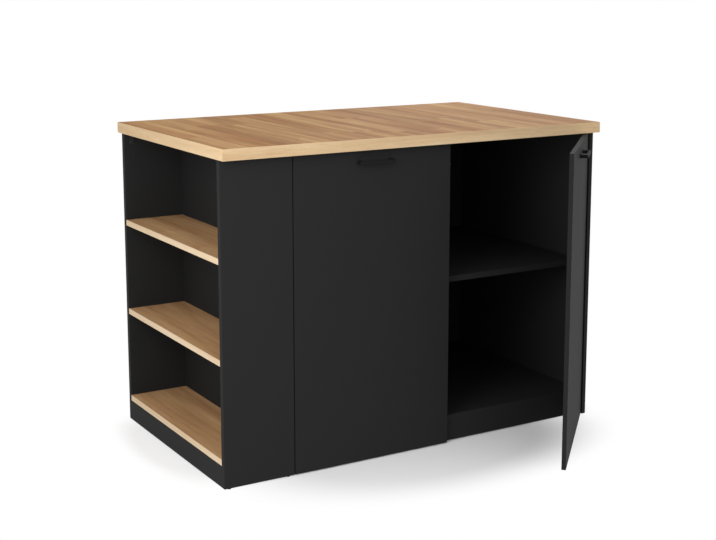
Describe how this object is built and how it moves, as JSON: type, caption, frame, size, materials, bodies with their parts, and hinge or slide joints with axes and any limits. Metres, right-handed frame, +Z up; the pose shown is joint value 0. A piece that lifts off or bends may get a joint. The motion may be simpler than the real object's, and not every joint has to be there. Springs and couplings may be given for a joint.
{
  "type": "kitchen island",
  "caption": "Free-standing kitchen island with an oak-look worktop, an open end niche with shelves and a cabinet behind two hinged doors.",
  "frame": {"origin": "middle of the bounding box on the floor, with the right door open as in the picture", "axes": "+X along the front to the right, +Y from the doors to the back, +Z up"},
  "size_m": [1.2, 1.0272, 0.887],
  "materials": {
    "oak_top": "oak-look laminate with staves and fine grain, satin",
    "oak_edge": "pale oak-look edge band, satin",
    "oak_shelf": "oak-look laminate, satin, with paler front edges",
    "black_board": "matt charcoal-black laminate on board",
    "black_metal": "satin black powder coat",
    "nickel": "nickel-plated pressed steel",
    "clear_plastic": "soft translucent plastic"
  },
  "bodies": {
    "cabinet": {"worktop": "oak_top", "edge_band_right": "oak_edge", "edge_band_left": "oak_edge", "edge_band_back": "oak_edge", "edge_band_front": "oak_edge", "fixed_panel": "black_board", "back_panel": "black_board", "side_panel_right": "black_board", "cabinet_side_left": "black_board", "niche_floor": "oak_shelf", "niche_shelf_lower": "oak_shelf", "niche_shelf_upper": "oak_shelf", "niche_back": "black_board", "niche_plinth": "black_board", "cabinet_floor": "black_board", "cabinet_plinth": "black_board", "centre_partition": "black_board", "cabinet_shelf_left": "black_board", "shelf_pin_left_left_front": "nickel", "shelf_pin_left_left_rear": "nickel", "shelf_pin_left_right_front": "nickel", "shelf_pin_left_right_rear": "nickel", "cabinet_shelf_right": "black_board", "shelf_pin_right_left_front": "nickel", "shelf_pin_right_left_rear": "nickel", "shelf_pin_right_right_front": "nickel", "shelf_pin_right_right_rear": "nickel", "door_bumper_left_lower": "clear_plastic", "door_bumper_left_upper": "clear_plastic", "door_bumper_right_lower": "clear_plastic", "door_bumper_right_upper": "clear_plastic", "worktop_bracket_niche": "black_metal", "worktop_bracket_left": "black_metal", "worktop_bracket_right": "black_metal", "worktop_bracket_back_left": "black_metal", "worktop_bracket_back_right": "black_metal", "hinge_plate_left_lower": "nickel", "hinge_arm_left_lower": "nickel", "hinge_plate_left_upper": "nickel", "hinge_arm_left_upper": "nickel", "hinge_plate_right_lower": "nickel", "hinge_arm_right_lower": "nickel", "hinge_plate_right_upper": "nickel", "hinge_arm_right_upper": "nickel"},
    "left_outer_links": {"hinge_outer_link_left_lower": "nickel", "hinge_outer_link_left_upper": "nickel"},
    "left_door": {"door_left": "black_board", "handle_left": "black_metal", "hinge_cup_left_lower": "nickel", "hinge_cup_left_upper": "nickel"},
    "left_inner_links": {"hinge_inner_link_left_lower": "nickel", "hinge_inner_link_left_upper": "nickel"},
    "right_outer_links": {"hinge_outer_link_right_lower": "nickel", "hinge_outer_link_right_upper": "nickel"},
    "right_door": {"door_right": "black_board", "handle_right": "black_metal", "hinge_cup_right_lower": "nickel", "hinge_cup_right_upper": "nickel"},
    "right_inner_links": {"hinge_inner_link_right_lower": "nickel", "hinge_inner_link_right_upper": "nickel"}
  },
  "joints": [
    {"name": "left_outer_link_pivot", "type": "hinge", "parent": "cabinet", "child": "left_outer_links", "pos_m": [-0.35402, -0.15371, 0.43], "axis": [0, 0, -1], "range_deg": [-27.19, 0.02]},
    {"name": "left_door_hinge", "type": "hinge", "parent": "left_outer_links", "child": "left_door", "pos_m": [-0.38088, -0.16243, 0.43], "axis": [0, 0, -1], "range_deg": [0, 122.17]},
    {"name": "left_inner_link_pivot", "type": "hinge", "parent": "left_door", "child": "left_inner_links", "pos_m": [-0.38012, -0.16564, 0.43], "axis": [0, 0, -1], "range_deg": [-127.92, 0.05]},
    {"name": "right_outer_link_pivot", "type": "hinge", "parent": "cabinet", "child": "right_outer_links", "pos_m": [0.54552, -0.15371, 0.43], "axis": [0, 0, 1], "range_deg": [-14.21, 13]},
    {"name": "right_door_hinge", "type": "hinge", "parent": "right_outer_links", "child": "right_door", "pos_m": [0.56973, -0.16824, 0.43], "axis": [0, 0, 1], "range_deg": [-58.38, 63.79]},
    {"name": "right_inner_link_pivot", "type": "hinge", "parent": "right_door", "child": "right_inner_links", "pos_m": [0.57149, -0.17104, 0.43], "axis": [0, 0, 1], "range_deg": [-66.81, 61.16]}
  ],
  "couplings": [
    {"joint": "left_outer_link_pivot", "follows": "left_door_hinge", "ratio": -0.2224},
    {"joint": "left_inner_link_pivot", "follows": "left_door_hinge", "ratio": -1.0467},
    {"joint": "right_outer_link_pivot", "follows": "right_door_hinge", "ratio": -0.2224},
    {"joint": "right_inner_link_pivot", "follows": "right_door_hinge", "ratio": -1.0467}
  ]
}
